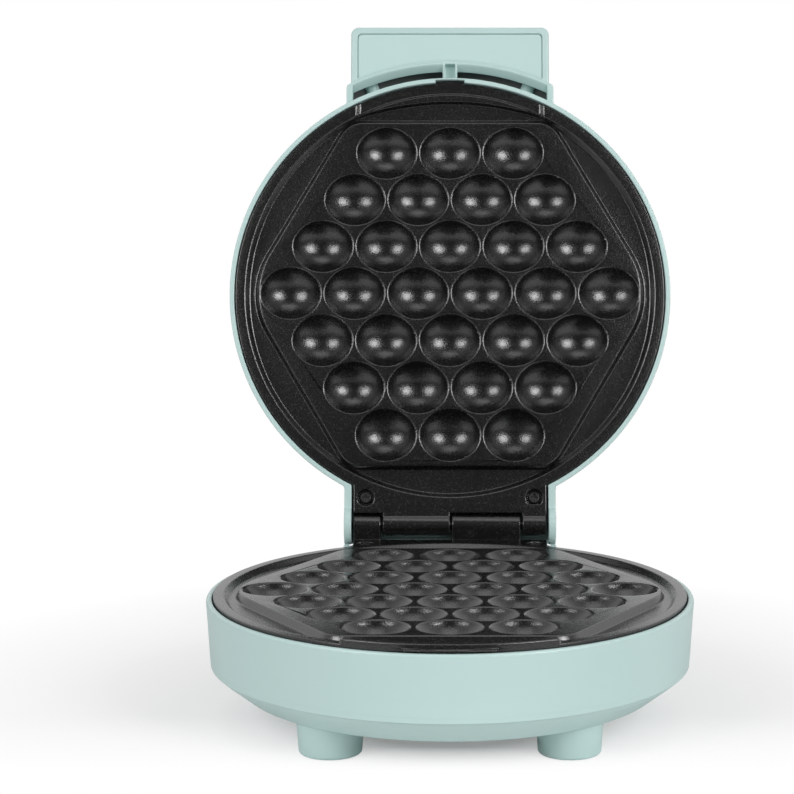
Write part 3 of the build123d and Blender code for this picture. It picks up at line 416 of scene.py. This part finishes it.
def soften(piece, width):
    """Rounds a piece's sharp edges and shades the rest smooth."""
    select_only(piece)
    plain = BVHTree.FromPolygons(
        [corner.co for corner in piece.data.vertices],
        [face.vertices for face in piece.data.polygons],
    )
    rounding = piece.modifiers.new("rounding", "BEVEL")
    rounding.width = width
    rounding.segments = BEVEL_SEGMENTS
    rounding.limit_method = "ANGLE"
    rounding.angle_limit = SHARP_ANGLE
    rounding.use_clamp_overlap = False
    bpy.ops.object.modifier_apply(modifier=rounding.name)
    # Corners that the rounding throws off the plain shape go back to it
    for corner in piece.data.vertices:
        nearest, _, _, away = plain.find_nearest(corner.co)
        if away > width:
            corner.co = nearest
    bpy.ops.object.shade_smooth_by_angle(angle=SMOOTH_ANGLE)
    shading = piece.modifiers.new("shading", "WEIGHTED_NORMAL")
    shading.keep_sharp = True
    shading.weight = FACE_WEIGHT
    bpy.ops.object.modifier_apply(modifier=shading.name)


def dress(node, finish, width):
    """Stands a softened copy in for a node, in its finish, on the node's own body."""
    piece = welded_copy(node, node + "_skin")
    soften(piece, width)
    paint(piece, finish)
    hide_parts(node)
    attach(piece, BODY_OF[node])


class ShellsOperator(bpy.types.Operator):
    """Finishes the base, the lid and the handle"""

    bl_idname = "waffle.shells"
    bl_label = "Mint shells"

    def execute(self, context):
        edge = context.scene.waffle_shape.shell_edge
        for node in ("base_housing", "lid_housing", "handle"):
            dress(node, "mint_plastic", edge)
        dress("handle_cover", "mint_matte", edge / 2)
        return {"FINISHED"}


class PlatesOperator(bpy.types.Operator):
    """Finishes both cast plates"""

    bl_idname = "waffle.plates"
    bl_label = "Cooking plates"

    def execute(self, context):
        for node in ("lower_plate", "upper_plate"):
            dress(node, "nonstick", context.scene.waffle_shape.plate_edge)
        return {"FINISHED"}


class FittingsOperator(bpy.types.Operator):
    """Finishes the pin, screws, heaters, sensors, lamps and feet"""

    bl_idname = "waffle.fittings"
    bl_label = "Fittings"

    def execute(self, context):
        special = {
            "lower_plate_screws": "dark_steel", "upper_plate_screws": "dark_steel", "hinge_pin": "dark_steel",
            "foot_pads": "foot_rubber", "lower_reflector": "sheet_metal", "upper_reflector": "sheet_metal",
            "lower_heating_element": "element_steel", "upper_heating_element": "element_steel",
            "terminal_block": "terminal_plastic", "lamp_holder": "terminal_plastic",
            "cord_gland": "gland_plastic", "cord_gland_nut": "gland_plastic",
            # The pocket liners are black sheets laid in the handle's pocket as painted shade, where the deep
            # pocket is only dark from shade
            "pocket_liners": "gland_plastic",
            "power_lamp_lens": "red_lens", "ready_lamp_lens": "green_lens", "indicator_lamps": "lamp_glass",
        }
        dressed = {"base_housing", "lid_housing", "handle", "handle_cover", "lower_plate", "upper_plate"}
        for node in sorted(set(NODES) - dressed):
            dress(node, special.get(node, "bright_steel"), context.scene.waffle_shape.metal_edge)
        return {"FINISHED"}


def aimed_lamp(name, place, size, power):
    """A softbox that looks at the middle of the object."""
    data = bpy.data.lights.new(name, "AREA")
    data.shape = "RECTANGLE"
    data.size, data.size_y = size
    data.energy = power
    lamp = bpy.data.objects.new(name, data)
    lamp.location = place
    lamp.rotation_euler = (Vector(LAMP_TARGET) - Vector(place)).to_track_quat("-Z", "Y").to_euler()
    bpy.context.scene.collection.objects.link(lamp)


def white_room(room_light, front_light):
    """World with a white backdrop behind the object and a dimmer room in front of it."""
    world = bpy.data.worlds.new("white_room")
    bpy.context.scene.world = world
    world.use_nodes = True
    tree = world.node_tree
    path = tree.nodes.new("ShaderNodeLightPath")
    around = tree.nodes.new("ShaderNodeTexCoord")
    axes = tree.nodes.new("ShaderNodeSeparateXYZ")
    tree.links.new(around.outputs["Generated"], axes.inputs[0])
    backdrop = tree.nodes.new("ShaderNodeMapRange")
    backdrop.inputs["From Min"].default_value = BACKDROP_START
    backdrop.inputs["From Max"].default_value = BACKDROP_END
    backdrop.inputs["To Min"].default_value = front_light
    backdrop.inputs["To Max"].default_value = 1.0
    tree.links.new(axes.outputs["Y"], backdrop.inputs["Value"])
    either = tree.nodes.new("ShaderNodeMath")
    either.operation = "MAXIMUM"
    tree.links.new(path.outputs["Is Glossy Ray"], either.inputs[0])
    tree.links.new(path.outputs["Is Transmission Ray"], either.inputs[1])
    mirrored = tree.nodes.new("ShaderNodeMix")
    mirrored.inputs["A"].default_value = room_light
    tree.links.new(either.outputs[0], mirrored.inputs["Factor"])
    tree.links.new(backdrop.outputs[0], mirrored.inputs["B"])
    shown = tree.nodes.new("ShaderNodeMix")
    shown.inputs["B"].default_value = 1.0
    tree.links.new(path.outputs["Is Camera Ray"], shown.inputs["Factor"])
    tree.links.new(mirrored.outputs["Result"], shown.inputs["A"])
    background = tree.nodes["Background"]
    background.inputs["Color"].default_value = WHITE
    tree.links.new(shown.outputs["Result"], background.inputs["Strength"])


class StageOperator(bpy.types.Operator):
    """Sets the floor, the lamps and the camera"""

    bl_idname = "waffle.stage"
    bl_label = "Stage"

    def execute(self, context):
        stage = context.scene.waffle_stage
        bpy.ops.object.select_all(action="DESELECT")
        bpy.ops.mesh.primitive_plane_add(size=FLOOR_SIZE)
        floor = context.object
        floor.name = "floor"
        made = Finish("floor_white", specular_ior_level=0.2, roughness=0.9)
        spread = made.node("ShaderNodeVectorMath", {"operation": "LENGTH"}, {0: made.place}, "Value")
        glow = made.node("ShaderNodeEmission", None, {"Color": WHITE, "Strength": 1.0})
        path = made.node("ShaderNodeLightPath", None, None, "Is Camera Ray")
        shown = made.tree.nodes.new("ShaderNodeMixShader")
        depth = made.node("ShaderNodeSeparateXYZ", None, {0: made.place}, 1)
        made.feed(base_color=made.mix(made.band(depth, -0.6, -0.26), FLOOR_DIM, FLOOR_PALE))
        # White where the camera sees open floor; the shaded floor shows under and behind the object
        under = 1 - made.band(spread, 0.05, 0.11)
        near = (1 - made.band(depth, -0.088, -0.05)) * under
        front = (1 - made.band(depth, -0.085, 0)) * (1 - under) + near
        lit = 1 - (0.44 + 0.33 * under) * (1 - front) * (1 - made.band(spread, 0.13, 0.3))
        made.tree.links.new((lit * path).socket, shown.inputs[0])
        made.tree.links.new(made.shader.outputs[0], shown.inputs[1])
        made.tree.links.new(glow.socket, shown.inputs[2])
        made.tree.links.new(shown.outputs[0], made.tree.nodes["Material Output"].inputs["Surface"])
        floor.data.materials.append(made.material)

        white_room(stage.room_light, stage.front_light)
        square = (stage.softbox_size, stage.softbox_size)
        aimed_lamp("right_softbox", RIGHT_SOFTBOX, square, stage.key_power)
        aimed_lamp("left_softbox", LEFT_SOFTBOX, square, stage.fill_power)
        aimed_lamp("top_softbox", TOP_SOFTBOX, TOP_SOFTBOX_SIZE, stage.top_power)

        data = bpy.data.cameras.new("camera")
        data.lens = stage.lens
        data.sensor_width = SENSOR_WIDTH
        data.shift_x = PICTURE_SHIFT / PICTURE_WIDTH
        camera = bpy.data.objects.new("camera", data)
        camera.location = (0, -stage.camera_back, stage.camera_height)
        camera.rotation_euler = (math.pi / 2 - stage.camera_pitch, 0, 0)
        context.scene.collection.objects.link(camera)
        context.scene.camera = camera
        context.scene.view_settings.view_transform = "Standard"
        return {"FINISHED"}


OPERATORS = (ShellsOperator, PlatesOperator, FittingsOperator, StageOperator)


class WafflePanel(bpy.types.Panel):
    """Lists the waffle maker's pieces and settings"""

    bl_idname = "VIEW3D_PT_waffle"
    bl_label = "Waffle Maker"
    bl_space_type = "VIEW_3D"
    bl_region_type = "UI"
    bl_category = "Waffle Maker"

    def draw(self, context):
        for settings in (context.scene.waffle_finish, context.scene.waffle_shape, context.scene.waffle_stage):
            for name in settings.__annotations__:
                self.layout.prop(settings, name)
        for operator in OPERATORS:
            self.layout.operator(operator.bl_idname)


SETTINGS = {
    "waffle_finish": FinishSettings,
    "waffle_shape": ShapeSettings,
    "waffle_stage": StageSettings,
}


def register():
    for kind in (*SETTINGS.values(), *OPERATORS, WafflePanel):
        bpy.utils.register_class(kind)
    for name, kind in SETTINGS.items():
        setattr(bpy.types.Scene, name, PointerProperty(type=kind))


def unregister():
    for name in SETTINGS:
        delattr(bpy.types.Scene, name)
    for kind in reversed((*SETTINGS.values(), *OPERATORS, WafflePanel)):
        bpy.utils.unregister_class(kind)


def main():
    register()
    for operator in OPERATORS:
        group, name = operator.bl_idname.split(".")
        getattr(getattr(bpy.ops, group), name)()


if __name__ == "__main__":
    main()
